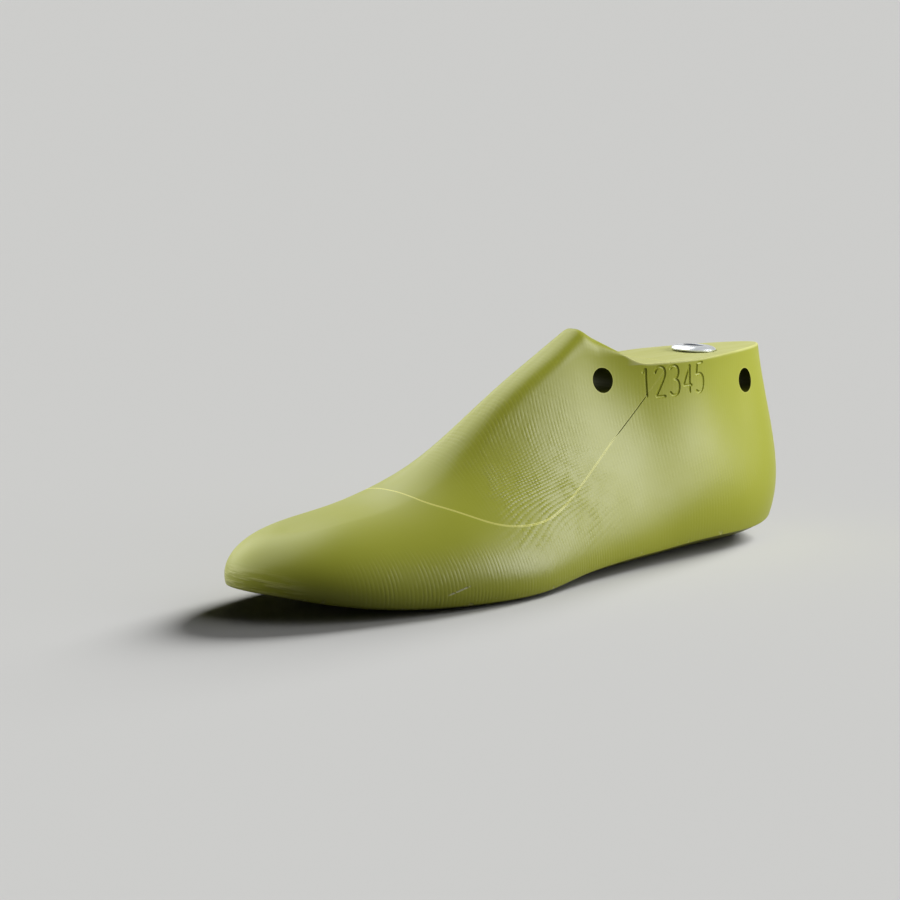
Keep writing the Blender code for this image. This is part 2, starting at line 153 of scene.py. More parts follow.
def rib_lines():
    """The wall curves' points round the last, their crest, and which way is out."""
    feet = np.array([rib[0] for rib in RIBS], float)
    widths = np.array([(rib[2] - rib[1]) / 2 for rib in RIBS], float)
    half = np.concatenate([[0.0], np.cumsum(np.hypot(np.diff(feet), np.diff(widths)))])
    lateral = [(r[0], r[1], r[3], r[4], r[5] - r[6], *r[6:]) for r in RIBS]
    medial = [(r[0], r[2], r[3], r[4], r[5] + r[6], *r[6:]) for r in RIBS]
    rows = lateral + medial[-2:0:-1]
    round_trip = 2 * half[-1]
    knots = np.concatenate([half, round_trip - half[-2::-1]])
    fine = np.concatenate([np.linspace(a, b, STEPS_PER_RIB, endpoint=False)
                           for a, b in zip(half, half[1:])])
    places = np.concatenate([fine, [half[-1]], round_trip - fine[:0:-1]])
    ribs = spline(knots, rows, places, closed=True)
    run = (spline(knots, rows, (places + RUN_STEP) % round_trip, closed=True)
           - spline(knots, rows, (places - RUN_STEP) % round_trip, closed=True))[:, :2]
    out = np.zeros((len(places), 3))
    out[:, 0], out[:, 1] = run[:, 1], -run[:, 0]
    out /= np.linalg.norm(out, axis=1)[:, None]
    up = np.array([0.0, 0.0, 1.0])
    foot = ribs[:, 0:3]
    head = np.column_stack([ribs[:, 3], ribs[:, 4], crest_height(ribs[:, 3])])
    goal = np.column_stack([ribs[:, 3], ribs[:, 4], crest_height(ribs[:, 3], WALL_BLEND)])
    low = foot + out * ribs[:, 6:7] + up * ribs[:, 7:8]
    shoulder = head + out * ribs[:, 8:9]
    shoulder[:, 2] = ribs[:, 9]
    return [foot, low, shoulder, goal], head, out, np.abs(ribs[:, 5])


def keep_mesh(mesh, data):
    """Turn every face outwards and keep the mesh as Blender's mesh data."""
    bmesh.ops.recalc_face_normals(mesh, faces=mesh.faces)
    mesh.to_mesh(data)
    mesh.free()
    return data


def turned_blank():
    """The whole last as one fine closed mesh, in millimetres of the drawing."""
    wall, head, out, half_crest = rib_lines()
    foot, low, shoulder, goal = wall
    on_plate = share(head[:, 0], *ROUND_TURNS_X)
    edge_round = RIDGE_ROUND + (PLATE_ROUND - RIDGE_ROUND) * on_plate
    edge_round = np.minimum(edge_round, NARROW_SHARE * half_crest + NARROW_ROUND)
    begin = FEATHER_ROUND / (3 * np.linalg.norm(low - foot, axis=1))
    end = 1 - edge_round / (3 * np.linalg.norm(goal - shoulder, axis=1))
    rim = head - out * edge_round[:, None]
    rim[:, 2] = crest_height(rim[:, 0])
    line = []
    for k in range(ARC_STEPS):
        line.append(bezier([foot - out * FEATHER_ROUND, foot, bezier(wall, begin[:, None])],
                           k / ARC_STEPS))
    for k in range(WALL_LEVELS + 1):
        t = begin + (end - begin) * k / WALL_LEVELS
        line.append(bezier(wall, t[:, None]))
    for k in range(1, ARC_STEPS + 1):
        line.append(bezier([bezier(wall, end[:, None]), head, rim], k / ARC_STEPS))
    columns = np.stack(line, axis=1)
    count, tall = columns.shape[:2]
    heel = count // 2
    points = list(columns.reshape(-1, 3))
    faces = []
    for i in range(count):
        a, b = i * tall, ((i + 1) % count) * tall
        faces += [(a + k, b + k, b + k + 1, a + k + 1) for k in range(tall - 1)]

    def bridge(end_index, steps, height):
        """Rows of faces from side to side, over the sole or over the crest."""
        rows = [[end_index]]
        for i in range(1, heel):
            near, far = i * tall + end_index, (count - i) * tall + end_index
            span = np.linalg.norm(points[near] - points[far])
            row = [near]
            for step in range(1, steps):
                point = points[near] + (points[far] - points[near]) * step / steps
                point[2] = height(point, step / steps, span)
                points.append(point)
                row.append(len(points) - 1)
            rows.append(row + [far])
        rows.append([heel * tall + end_index])
        for front, back in zip(rows, rows[1:]):
            for k in range(max(len(front), len(back)) - 1):
                front_edge = front if len(front) == 1 else front[k:k + 2]
                back_edge = back if len(back) == 1 else back[k:k + 2]
                faces.append(tuple(front_edge + back_edge[::-1]))

    def sole_height(point, across, span):
        crown = SOLE_CROWN * min(span / CROWN_WIDTH, 1.0) * 4 * across * (1 - across)
        crown *= share(point[0], *CROWN_GROWS_X)
        return float(-smooth_min(crown - point[2], 0.0, CROWN_BLEND))

    bridge(0, SOLE_STEPS, sole_height)
    bridge(tall - 1, CREST_STEPS,
           lambda point, across, span: float(crest_height(point[:1])[0]))
    data = bpy.data.meshes.new("turned_blank")
    data.from_pydata([tuple(point) for point in points], [], faces)
    mesh = bmesh.new()
    mesh.from_mesh(data)
    return keep_mesh(mesh, data), foot, head


blank, feather_line, crest_line = turned_blank()


# The plastic: green polyethylene, milled all over in rings 1.65 mm apart that the lathe's
# cutter leaves, with its short scallops along each ring. The heel and the top of the toe
# are smoothed afterwards and the toe's lower edge is sanded. The cut's lips are paler, partly
# scuffed and partly a painted highlight where their edges catch the light.
MM = 0.001
DRAWING_TO_FRAME = Matrix.Translation((0.074 * MM, 1.19 * MM, 0))

# the milling marks, with the place of the lathe's centres across and above the sole
RING_PITCH = 1.65
RING_DEPTH = 0.042
RING_WANDER = 1.5
SCALLOP_LENGTH = 1.9
SCALLOP_DEPTH = 0.11
SCALLOP_STAGGER = -0.26
SCALLOP_WANDER = 5.0
TURNING_RADIUS = 36.0
LATHE_CENTRE = (1.0, 30.0)
GRAIN_DEPTH = 0.008

# where the marks fade, along the last and above the sole
HEEL_SMOOTHED_X = (-2.0, 45.0)
TOE_SMOOTHED_X = (-125.0, -100.0)
TOE_TOP_X = (-56.0, -32.0)
TOE_TOP_Z = (18.0, 26.0)
CONE_SMOOTHED_Z = (58.0, 78.0)
SCALLOPS_FROM_X = (-55.0, -30.0)
SCALLOPS_TO_X = (5.0, 35.0)
SCALLOPS_FROM_Z = (13.0, 24.0)
SCALLOPS_TO_Z = (35.0, 58.0)

# sanding, the scratch in side view, nicks, and the streaks along the plate
SANDED_REACH = (11.0, 3.0)
SANDED_X = (-126.0, -136.0)
SANDED_STRETCH = (0.12, 0.06)
SANDED_DEPTH = 0.10
SCRATCH = ((-78.2, 7.0), (-67.0, 9.8))
SCRATCH_WIDTH = 0.45
SCRATCH_ENDS = (3.0, 2.0)
SCRATCH_DEPTH = 0.12
SCRATCH_Y = (-20.0, -25.0)
NICK_REACH = (2.6, 1.0)
NICK_DEPTH = 0.15
PLATE_Z = (78.3, 78.6)
PLATE_X = (46.0, 52.0)
STREAK_DEPTH = 0.05

# the green's two shades, and how strongly each mark and the plate's painted sheen are tinted and
# with what
GREENS = ((0.350, 0.378, 0.016), (0.388, 0.408, 0.026))
RING_TINT = (0.12, (0.56, 0.57, 0.20))
# the plate's paler tint is a painted sheen, the reflected light on the flat top
PLATE_SHEEN_TINT = (0.5, (0.46, 0.46, 0.18))
STREAK_TINT = (0.6, (0.60, 0.60, 0.32))
SANDED_TINT = (0.55, (0.66, 0.66, 0.20))
SCRATCH_TINT = (0.8, (0.72, 0.72, 0.45))
NICK_TINT = (0.5, (0.62, 0.62, 0.25))

# the cross holes: their width, and how far along and how far below the plate each one lies
CROSS_HOLE = 10.0
FRONT_HOLE = (34.5, 5.1)
REAR_HOLE = (115.6, 13.0)

# where the sawn lips, the cross holes' mouths and the rim show, and their colours: painted
# highlights, with scuffing on the lips and wear on the rim
LIP_REACH = (0.42, 0.26)
LIP_WAIST_X = (-25.0, 0.0)
LIP_BACK_X = (30.0, 37.0)
LIP_SCUFF_AND_HIGHLIGHT_COLOUR = (0.76, 0.76, 0.17)
HOLE_EDGE_REACH = (0.25, 0.6)
HOLE_MOUTH_HIGHLIGHT_COLOUR = (0.50, 0.52, 0.07)
RIM_REACH = (1.2, 0.3)
RIM_X = (24.0, 36.0)
RIM_WEAR_AND_HIGHLIGHT_COLOUR = (0.66, 0.66, 0.24)

# how rough and how glossy the plastic is, milled and sawn
PLASTIC_ROUGHNESS = (0.38, 0.45)
PLATE_ROUGHER = 0.4
PLASTIC_IOR = 1.51
MILLED_GLOSS = 0.4
SAWN_GLOSS = 0.15

# colour, roughness, and how deep the tool's streaks are
SAWN = ((0.33, 0.35, 0.06), 0.6, 0.08)
# the drilled walls' near-black colour is painted shade down the holes and wells
DRILLED_PAINTED_SHADE = ((0.07, 0.078, 0.006), 0.5, 0.03)


def connect(tree, socket, value):
    if isinstance(value, bpy.types.NodeSocket):
        tree.links.new(value, socket)
    else:
        socket.default_value = value


def maths(tree, operation, *values):
    node = tree.nodes.new("ShaderNodeMath")
    node.operation = operation
    for socket, value in zip(node.inputs, values):
        connect(tree, socket, value)
    return node.outputs[0]


def ramp(tree, value, low, high, to_low=0.0, to_high=1.0):
    """Smooth step of a value from low to high."""
    node = tree.nodes.new("ShaderNodeMapRange")
    node.interpolation_type = "SMOOTHSTEP"
    for name, given in (("Value", value), ("From Min", low), ("From Max", high),
                        ("To Min", to_low), ("To Max", to_high)):
        connect(tree, node.inputs[name], given)
    return node.outputs[0]


def fade(tree, value, band, to_low=0.0, to_high=1.0):
    """Smooth step of a place over a band that is given in millimetres."""
    return ramp(tree, value, band[0] * MM, band[1] * MM, to_low, to_high)


def tint(tree, amount, under, over):
    """A colour laid over another one, by an amount from 0 to 1."""
    node = tree.nodes.new("ShaderNodeMix")
    node.data_type = "RGBA"
    for socket, value in ((node.inputs[0], amount), (node.inputs[6], under),
                          (node.inputs[7], over)):
        connect(tree, socket, value if isinstance(value, (float, bpy.types.NodeSocket))
                else (*value, 1.0))
    return node.outputs[2]


def speckle(tree, place, scale, detail=2.0, rough=0.5, stretch=None):
    """Noise from 0 to 1 at so many specks to the millimetre, stretched along an axis."""
    if stretch:
        mapping = tree.nodes.new("ShaderNodeMapping")
        mapping.inputs["Scale"].default_value = stretch
        tree.links.new(place, mapping.inputs["Vector"])
        place = mapping.outputs[0]
    node = tree.nodes.new("ShaderNodeTexNoise")
    tree.links.new(place, node.inputs["Vector"])
    node.inputs["Scale"].default_value = scale / MM
    node.inputs["Detail"].default_value = detail
    node.inputs["Roughness"].default_value = rough
    return node.outputs["Fac"]


def measured(tree, name):
    """A distance that is stored on the mesh, in millimetres."""
    node = tree.nodes.new("ShaderNodeAttribute")
    node.attribute_name = name
    return node.outputs["Fac"]


def coordinates(tree, place):
    split = tree.nodes.new("ShaderNodeSeparateXYZ")
    tree.links.new(place, split.inputs[0])
    return split.outputs


def emboss(tree, shader, height):
    """Bump from a height in millimetres."""
    bump = tree.nodes.new("ShaderNodeBump")
    bump.inputs["Strength"].default_value = 1.0
    bump.inputs["Distance"].default_value = MM
    connect(tree, bump.inputs["Height"], height)
    connect(tree, shader.inputs["Normal"], bump.outputs[0])


def new_material(name):
    material = bpy.data.materials.new(name)
    material.use_nodes = True
    tree = material.node_tree
    return material, tree, tree.nodes["Principled BSDF"]


def scallop(tree, phase):
    """Hollows side by side with sharp crests between them, from 0 to 1."""
    return maths(tree, "ABSOLUTE", maths(tree, "COSINE", maths(tree, "MULTIPLY", phase, math.pi)))


def scratch_line(tree, x, z, start, end, width):
    """One straight scratch in side view, as a mask that fades at both ends."""
    along = Vector(end) - Vector(start)
    length = along.length
    along /= length
    dx = maths(tree, "SUBTRACT", x, start[0] * MM)
    dz = maths(tree, "SUBTRACT", z, start[1] * MM)
    on = maths(tree, "ADD", maths(tree, "MULTIPLY", dx, along.x),
               maths(tree, "MULTIPLY", dz, along.y))
    off = maths(tree, "ABSOLUTE", maths(tree, "SUBTRACT", maths(tree, "MULTIPLY", dx, along.y),
                                        maths(tree, "MULTIPLY", dz, along.x)))
    ends = maths(tree, "MULTIPLY", fade(tree, on, (0.0, SCRATCH_ENDS[0])),
                 fade(tree, on, (length - SCRATCH_ENDS[1], length), 1.0, 0.0))
    return maths(tree, "MULTIPLY", ends, fade(tree, off, (0.4 * width, width), 1.0, 0.0))


def distance(tree, *pairs):
    """How far a place is from a line along one axis, from its two other coordinates."""
    squares = [maths(tree, "POWER", maths(tree, "SUBTRACT", value, middle), 2.0)
               for value, middle in pairs]
    return maths(tree, "SQRT", maths(tree, "ADD", *squares))


def product(tree, *values):
    result = values[0]
    for value in values[1:]:
        result = maths(tree, "MULTIPLY", result, value)
    return result


def milled_plastic():
    material, tree, shader = new_material("green_polyethylene_milled")
    place = tree.nodes.new("ShaderNodeTexCoord").outputs["Object"]
    x, y, z = coordinates(tree, place)
    mottle = speckle(tree, place, 0.03, 3.0)
    wander = speckle(tree, place, 0.02, 1.0)
    patchy = speckle(tree, place, 0.09, 2.0)
    grain = speckle(tree, place, 0.9, 3.0, 0.6)
    broken = ramp(tree, speckle(tree, place, 0.22, 1.0, 0.5), 0.35, 0.65, 0.55, 1.25)
    feather = measured(tree, "from_feather")
    rim = measured(tree, "from_rim")
    seam = measured(tree, "from_saw_cut")

    # The cutter's rings and scallops, and where they are smoothed away.
    rings = maths(tree, "ADD", maths(tree, "DIVIDE", x, RING_PITCH * MM),
                  maths(tree, "MULTIPLY", wander, RING_WANDER))
    angle = maths(tree, "ARCTAN2", maths(tree, "SUBTRACT", y, LATHE_CENTRE[0] * MM),
                  maths(tree, "SUBTRACT", z, LATHE_CENTRE[1] * MM))
    turns = maths(tree, "MULTIPLY", angle, TURNING_RADIUS / SCALLOP_LENGTH)
    whole_ring = maths(tree, "FLOOR", maths(tree, "ADD", rings, 0.5))
    around = maths(tree, "ADD", turns, maths(tree, "MULTIPLY", whole_ring, SCALLOP_STAGGER))
    around = maths(tree, "ADD", around, maths(tree, "MULTIPLY", wander, SCALLOP_WANDER))
    ring_wave = scallop(tree, rings)
    scallop_wave = scallop(tree, around)
    heel_calm = fade(tree, x, HEEL_SMOOTHED_X, 1.0, 0.32)
    toe_calm = fade(tree, x, TOE_SMOOTHED_X)
    top_calm = maths(tree, "MAXIMUM", fade(tree, x, TOE_TOP_X),
                     fade(tree, z, TOE_TOP_Z, 1.0, 0.04))
    cone_calm = fade(tree, z, CONE_SMOOTHED_Z, 1.0, 0.55)
    calm = product(tree, heel_calm, toe_calm, top_calm, cone_calm,
                   ramp(tree, patchy, 0.3, 0.7, 0.6, 1.3))
    scalloped = product(tree, fade(tree, x, SCALLOPS_FROM_X),
                        fade(tree, x, SCALLOPS_TO_X, 1.0, 0.2),
                        fade(tree, z, SCALLOPS_TO_Z, 1.0, 0.25),
                        fade(tree, z, SCALLOPS_FROM_Z, 0.1, 1.0))
    depth = maths(tree, "ADD", maths(tree, "MULTIPLY", ring_wave, RING_DEPTH),
                  product(tree, scallop_wave, scalloped, SCALLOP_DEPTH))
    height = maths(tree, "ADD", product(tree, depth, calm, broken),
                   maths(tree, "MULTIPLY", grain, GRAIN_DEPTH))

    # Sanding lines round the toe's lower edge, a scratch, and nicks along the feather edge.
    sanded = maths(tree, "MULTIPLY", ramp(tree, feather, *SANDED_REACH), fade(tree, x, SANDED_X))
    sanding_place = tree.nodes.new("ShaderNodeCombineXYZ")
    connect(tree, sanding_place.inputs[0], maths(tree, "MULTIPLY", x, SANDED_STRETCH[0]))
    connect(tree, sanding_place.inputs[1], maths(tree, "MULTIPLY", y, SANDED_STRETCH[1]))
    connect(tree, sanding_place.inputs[2], maths(tree, "MULTIPLY", feather, MM))
    lines = ramp(tree, speckle(tree, sanding_place.outputs[0], 0.8, 3.0, 0.65), 0.4, 0.62)
    lines = maths(tree, "MULTIPLY", lines, sanded)
    scratch = product(tree, scratch_line(tree, x, z, *SCRATCH, SCRATCH_WIDTH),
                      fade(tree, y, SCRATCH_Y), ramp(tree, grain, 0.35, 0.5))
    nicks = product(tree, ramp(tree, speckle(tree, place, 0.35, 1.0), 0.66, 0.72),
                    ramp(tree, feather, *NICK_REACH))
    height = maths(tree, "ADD", height, maths(tree, "MULTIPLY", lines, SANDED_DEPTH))
    height = maths(tree, "SUBTRACT", height, maths(tree, "MULTIPLY", scratch, SCRATCH_DEPTH))
    height = maths(tree, "SUBTRACT", height, maths(tree, "MULTIPLY", nicks, NICK_DEPTH))

    # The milled plate: streaks along the last, and a painted sheen that makes it a little paler
    # than the sides.
    plate = maths(tree, "MULTIPLY", fade(tree, z, PLATE_Z), fade(tree, x, PLATE_X))
    streaks = speckle(tree, place, 0.25, 3.0, 0.6, stretch=(0.12, 1.0, 1.0))
    plate_streaks = maths(tree, "MULTIPLY", streaks, plate)
    height = maths(tree, "ADD", height, maths(tree, "MULTIPLY", plate_streaks, STREAK_DEPTH))
    emboss(tree, shader, height)

    # The green, paler where a tool has marked it, with a painted sheen on the plate, and painted
    # highlights on the scuffed sawn lips, round the holes' mouths and along the rim, where it is
    # also broken up like wear.
    crests = product(tree, maths(tree, "SUBTRACT", 1.0, ring_wave), calm, broken)
    colour = tint(tree, mottle, *GREENS)
    # the plate's tint in this loop is a painted sheen of reflected light; the other marks are the
    # plastic's own
    for mark, amount, pale in ((crests, *RING_TINT), (plate, *PLATE_SHEEN_TINT),
                               (plate_streaks, *STREAK_TINT), (lines, *SANDED_TINT),
                               (scratch, *SCRATCH_TINT), (nicks, *NICK_TINT)):
        colour = tint(tree, maths(tree, "MULTIPLY", mark, amount), colour, pale)
    # the sawn lips: a painted highlight where the edges catch the light, partly scuffed plastic
    lip_scuff_and_highlight = product(tree, ramp(tree, seam, *LIP_REACH), fade(tree, x, LIP_WAIST_X, 0.95, 0.8),
                  fade(tree, x, LIP_BACK_X, 1.0, 0.3))
    colour = tint(tree, lip_scuff_and_highlight, colour, LIP_SCUFF_AND_HIGHLIGHT_COLOUR)
    # painted highlight: a paler ring round each cross hole's mouth, where its edge catches the
    # light
    for hole_x, depth in (FRONT_HOLE, REAR_HOLE):
        centre = DRAWING_TO_FRAME @ (Vector((hole_x, 0, PLATE_HEIGHT - depth)) * MM)
        radius = distance(tree, (x, centre.x), (z, centre.z))
        edge = [CROSS_HOLE / 2 + reach for reach in HOLE_EDGE_REACH]
        colour = tint(tree, fade(tree, radius, edge, 0.7, 0.0), colour, HOLE_MOUTH_HIGHLIGHT_COLOUR)
    # along the rim: a painted highlight where the rounded edge catches the light, broken up like
    # wear
    wear_and_highlight = product(tree, ramp(tree, rim, *RIM_REACH), fade(tree, x, RIM_X),
                   ramp(tree, mottle, 0.35, 0.65, 0.35, 0.8))
    colour = tint(tree, wear_and_highlight, colour, RIM_WEAR_AND_HIGHLIGHT_COLOUR)
    connect(tree, shader.inputs["Base Color"], colour)
    connect(tree, shader.inputs["Roughness"],
            maths(tree, "ADD", ramp(tree, mottle, 0.3, 0.7, *PLASTIC_ROUGHNESS),
                  maths(tree, "MULTIPLY", plate, PLATE_ROUGHER)))
    shader.inputs["IOR"].default_value = PLASTIC_IOR
    shader.inputs["Specular IOR Level"].default_value = MILLED_GLOSS
    return material


def cut_plastic(name, colour, roughness, grit):
    """Plastic where a saw or a drill has gone through it, streaked from side to side."""
    material, tree, shader = new_material(name)
    place = tree.nodes.new("ShaderNodeTexCoord").outputs["Object"]
    streak = speckle(tree, place, 0.6, 3.0, 0.6, stretch=(1.0, 0.05, 1.0))
    emboss(tree, shader, maths(tree, "MULTIPLY", streak, grit))
    pale = tuple(min(channel * 1.25, 1.0) for channel in colour)
    connect(tree, shader.inputs["Base Color"], tint(tree, streak, colour, pale))
    shader.inputs["Roughness"].default_value = roughness
    shader.inputs["IOR"].default_value = PLASTIC_IOR
    shader.inputs["Specular IOR Level"].default_value = SAWN_GLOSS
    return material


plastic = milled_plastic()
sawn = cut_plastic("green_polyethylene_sawn", *SAWN)
drilled = cut_plastic("green_polyethylene_drilled_painted_shade", *DRILLED_PAINTED_SHADE)
blank.materials.append(plastic)


# The saw cut: a band saw cuts the scoop out of the blank in one pass from side to side. It
# goes down behind the toe, round under the instep and up straight to the plate. The blade's
# gap is closed nearly all the way by the seated block and gapes a little below the plate.
SCOOP = [(-67.5, 47), (-66.6, 39.2), (-60, 35.3), (-45, 28.9), (-30, 26.4), (-15, 27.3),
         (0, 32.2), (20, 42.4), (36, 52), (48, 60.4), (58, 69.7), (66, 78.6)]
SCOOP_ANGLE = math.radians(48.0)
SCOOP_STEPS = 120
STRAIGHT_STEPS = 140
SEATED_GAP = 0.05
GAPING = 0.3
GAPING_FROM, GAPING_TO = 35.5, 56.0
GAPING_FADE = 2.0
SPAN = 280.0


def scoop_curve():
    """The saw cut in side view, as points and the directions that point down from it."""
    knots = np.concatenate([[0], np.cumsum([math.dist(a, b) for a, b in zip(SCOOP, SCOOP[1:])])])
    curve = spline(knots, SCOOP, np.linspace(0, knots[-1], SCOOP_STEPS))
    run = np.array([math.cos(SCOOP_ANGLE), math.sin(SCOOP_ANGLE)])
    straight = curve[-1] + run * np.linspace(1, SPAN, STRAIGHT_STEPS)[:, None]
    curve = np.vstack([curve, straight])
    along = np.gradient(curve, axis=0)
    along /= np.linalg.norm(along, axis=1)[:, None]
    return curve, np.column_stack([along[:, 1], -along[:, 0]])


def add_piece(name, data):
    piece = bpy.data.objects.new(name, data)
    bpy.context.scene.collection.objects.link(piece)
    return piece


def scoop_cutter(name, offset):
    """Everything above the saw cut, moved towards the sole by an offset at each point."""
    curve, down = scoop_curve()
    curve = curve + down * offset(curve[:, 0])[:, None]
    outline = [*map(tuple, curve), (curve[0, 0], curve[-1, 1])]
    mesh = bmesh.new()
    face = mesh.faces.new([mesh.verts.new((x, -SPAN / 2, z)) for x, z in outline])
    swept = bmesh.ops.extrude_face_region(mesh, geom=[face])
    moved = [item for item in swept["geom"] if isinstance(item, bmesh.types.BMVert)]
    bmesh.ops.translate(mesh, vec=(0, SPAN, 0), verts=moved)
    data = keep_mesh(mesh, bpy.data.meshes.new(name))
    data.materials.append(sawn)
    return add_piece(name, data)


def cut(piece, cutter, operation="DIFFERENCE"):
    step = piece.modifiers.new(cutter.name, "BOOLEAN")
    step.operation = operation
    step.solver = "EXACT"
    step.material_mode = "TRANSFER"
    step.object = cutter


def no_gap(x):
    return np.zeros_like(x)


def seat_gap(x):
    opened = share(x, GAPING_FROM, GAPING_FROM + GAPING_FADE)
    closed = share(x, GAPING_TO, GAPING_TO - GAPING_FADE)
    return SEATED_GAP + GAPING * opened * closed


block_cutter = scoop_cutter("block_cutter", no_gap)
seat_cutter = scoop_cutter("seat_cutter", seat_gap)


# The cross holes: a plain drill goes through the block and through the heel from side to
# side. A last hook or a hanging rod goes through them, and their walls are painted near-black
# as the shade down the holes.
ROUND_STEPS = 96


def turned(name, profile, steps, closed=True):
    """A profile of radius and height turned about Z, with flat ends where it isn't closed."""
    mesh = bmesh.new()
    rings = []
    for step in range(steps):
        angle = 2 * math.pi * step / steps
        rings.append([mesh.verts.new((r * math.cos(angle), r * math.sin(angle), z))
                      for r, z in profile])
    for ring, following in zip(rings, rings[1:] + rings[:1]):
        for k in range(len(profile) if closed else len(profile) - 1):
            n = (k + 1) % len(profile)
            mesh.faces.new((ring[k], following[k], following[n], ring[n]))
    if not closed:
        for k in (0, -1):
            mesh.faces.new([ring[k] for ring in rings])
    return keep_mesh(mesh, bpy.data.meshes.new(name))


def drill(name, radius, low, high, matrix, material, steps=ROUND_STEPS):
    """A round cutter that leaves its own material on the wall of the hole."""
    data = turned(name, [(radius, low), (radius, high)], steps, closed=False)
    data.transform(matrix)
    data.materials.append(material)
    return add_piece(name, data)


def cross_hole_place(hole):
    x, depth = hole
    return (Matrix.Translation((x, 0, PLATE_HEIGHT - depth))
            @ Matrix.Rotation(math.radians(90), 4, "X"))


front_drill = drill("front_drill", CROSS_HOLE / 2, -SPAN / 2, SPAN / 2,
                    cross_hole_place(FRONT_HOLE), drilled)
rear_drill = drill("rear_drill", CROSS_HOLE / 2, -SPAN / 2, SPAN / 2,
                   cross_hole_place(REAR_HOLE), drilled)


# The jack thimble: a turned and zinc plated steel tube with a domed flange. It is driven into
# a drilled well in the plate, down into a shallow spot face, and leans a little to the heel.
THIMBLE_X = 98.2
THIMBLE_LEAN = math.radians(4.0)
THIMBLE_BORE = 7.5
THIMBLE_WALL = 1.6
THIMBLE_LENGTH = 45.0
FLANGE_DIAMETER = 18.5
FLANGE_EDGE = 0.7
FLANGE_CHAMFER = 0.2
FLANGE_DOME = 1.5
DOME_START = 12.0
DOME_SHARE = 0.96
DOME_STEPS = 12
MOUTH_ROUND = 0.9
MOUTH_STEPS = 6
BORE_FADE = (0.3, 1.0)
ZINC = ((0.76, 0.80, 0.85), (0.88, 0.91, 0.94))
BORE_PAINTED_SHADE = (0.05, 0.055, 0.07)
ZINC_GRAIN_DEPTH = 0.004
ZINC_ROUGHNESS = (0.2, 0.3)
BORE_ROUGHER = 0.25
SPOT_FACE_DEPTH = 0.3
GAP = 0.3
END_GAP = 1.0


def plated_steel():
    """Bright bluish zinc on turned steel, dull down the bore and painted dark there as shade."""
    material, tree, shader = new_material("zinc_plated_steel_bright")
    place = tree.nodes.new("ShaderNodeTexCoord").outputs["Object"]
    x, y, _ = coordinates(tree, place)
    centre = DRAWING_TO_FRAME @ (Vector((THIMBLE_X, 0, 0)) * MM)
    radius = distance(tree, (x, centre.x), (y, centre.y))
    in_bore = fade(tree, radius, [THIMBLE_BORE / 2 + reach for reach in BORE_FADE], 1.0, 0.0)
    blotch = speckle(tree, place, 0.25, 2.0)
    fine = speckle(tree, place, 3.0, 2.0)
    emboss(tree, shader, maths(tree, "MULTIPLY", fine, ZINC_GRAIN_DEPTH))
    # the bore is painted dark, as the shade inside the tube
    connect(tree, shader.inputs["Base Color"],
            tint(tree, in_bore, tint(tree, blotch, *ZINC), BORE_PAINTED_SHADE))
    connect(tree, shader.inputs["Roughness"],
            maths(tree, "ADD", ramp(tree, blotch, 0.3, 0.7, *ZINC_ROUGHNESS),
                  maths(tree, "MULTIPLY", in_bore, BORE_ROUGHER)))
    shader.inputs["Metallic"].default_value = 1.0
    return material


def finish_piece(piece, body, slot_name, *nodes, angle=30.0):
    """Move the piece into the frame, smooth its rounds, and hand it to its body."""
    piece.data.transform(DRAWING_TO_FRAME @ Matrix.Scale(MM, 4))
    piece.data.shade_smooth()
    piece.data.set_sharp_from_angle(angle=math.radians(angle))
    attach(piece, body)
    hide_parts(*nodes)


thimble_place = (Matrix.Translation((THIMBLE_X, 0, PLATE_HEIGHT))
                 @ Matrix.Rotation(THIMBLE_LEAN, 4, "Y")
                 @ Matrix.Translation((0, 0, -SPOT_FACE_DEPTH)))
bore = THIMBLE_BORE / 2
tube = bore + THIMBLE_WALL
flange = FLANGE_DIAMETER / 2
well = drill("thimble_well", tube + GAP, -THIMBLE_LENGTH - END_GAP, SPAN, thimble_place, drilled)
spot_face = drill("spot_face", flange + GAP, 0.0, SPAN, thimble_place, sawn)

outline = [(bore, GAP - THIMBLE_LENGTH), (tube, GAP - THIMBLE_LENGTH), (tube, GAP),
           (flange - FLANGE_CHAMFER, GAP), (flange, GAP + FLANGE_CHAMFER),
           (flange, GAP + FLANGE_EDGE)]
for step in range(1, DOME_STEPS + 1):
    turn = math.radians(DOME_START + (90 - DOME_START) * step / DOME_STEPS)
    outline.append((tube + (flange - tube) * DOME_SHARE * math.cos(turn),
                    GAP + FLANGE_EDGE + FLANGE_DOME * math.sin(turn)))
top = GAP + FLANGE_EDGE + FLANGE_DOME
for step in range(MOUTH_STEPS + 1):
    turn = math.radians(90 * step / MOUTH_STEPS)
    outline.append((bore + MOUTH_ROUND * (1 - math.sin(turn)),
                    top - MOUTH_ROUND * (1 - math.cos(turn))))
data = turned("thimble", outline, ROUND_STEPS)
data.transform(thimble_place)
data.materials.append(plated_steel())
thimble = add_piece("thimble", data)
finish_piece(thimble, "last", "zinc_plated_steel", "jack_thimble")


# The number mark: the plain figures 1 to 5 are milled into the lateral side under the plate
# with a round-nosed cutter, about half a millimetre deep, across the saw cut. The grooves
# follow the side's curve, and each stroke ends where the cutter turned a corner.
MARK_HEIGHT = 12.0
MARK_WIDTH = 5.0
MARK_PITCH = 6.8
MARK_START = (51.6, 65.0)
GROOVE_RADIUS = 0.7
GROOVE_LIFT = 0.22
GROOVE_STEP = 0.35
GROOVE_SIDES = 14
GROOVE_ENDS = (0.45, 0.85)

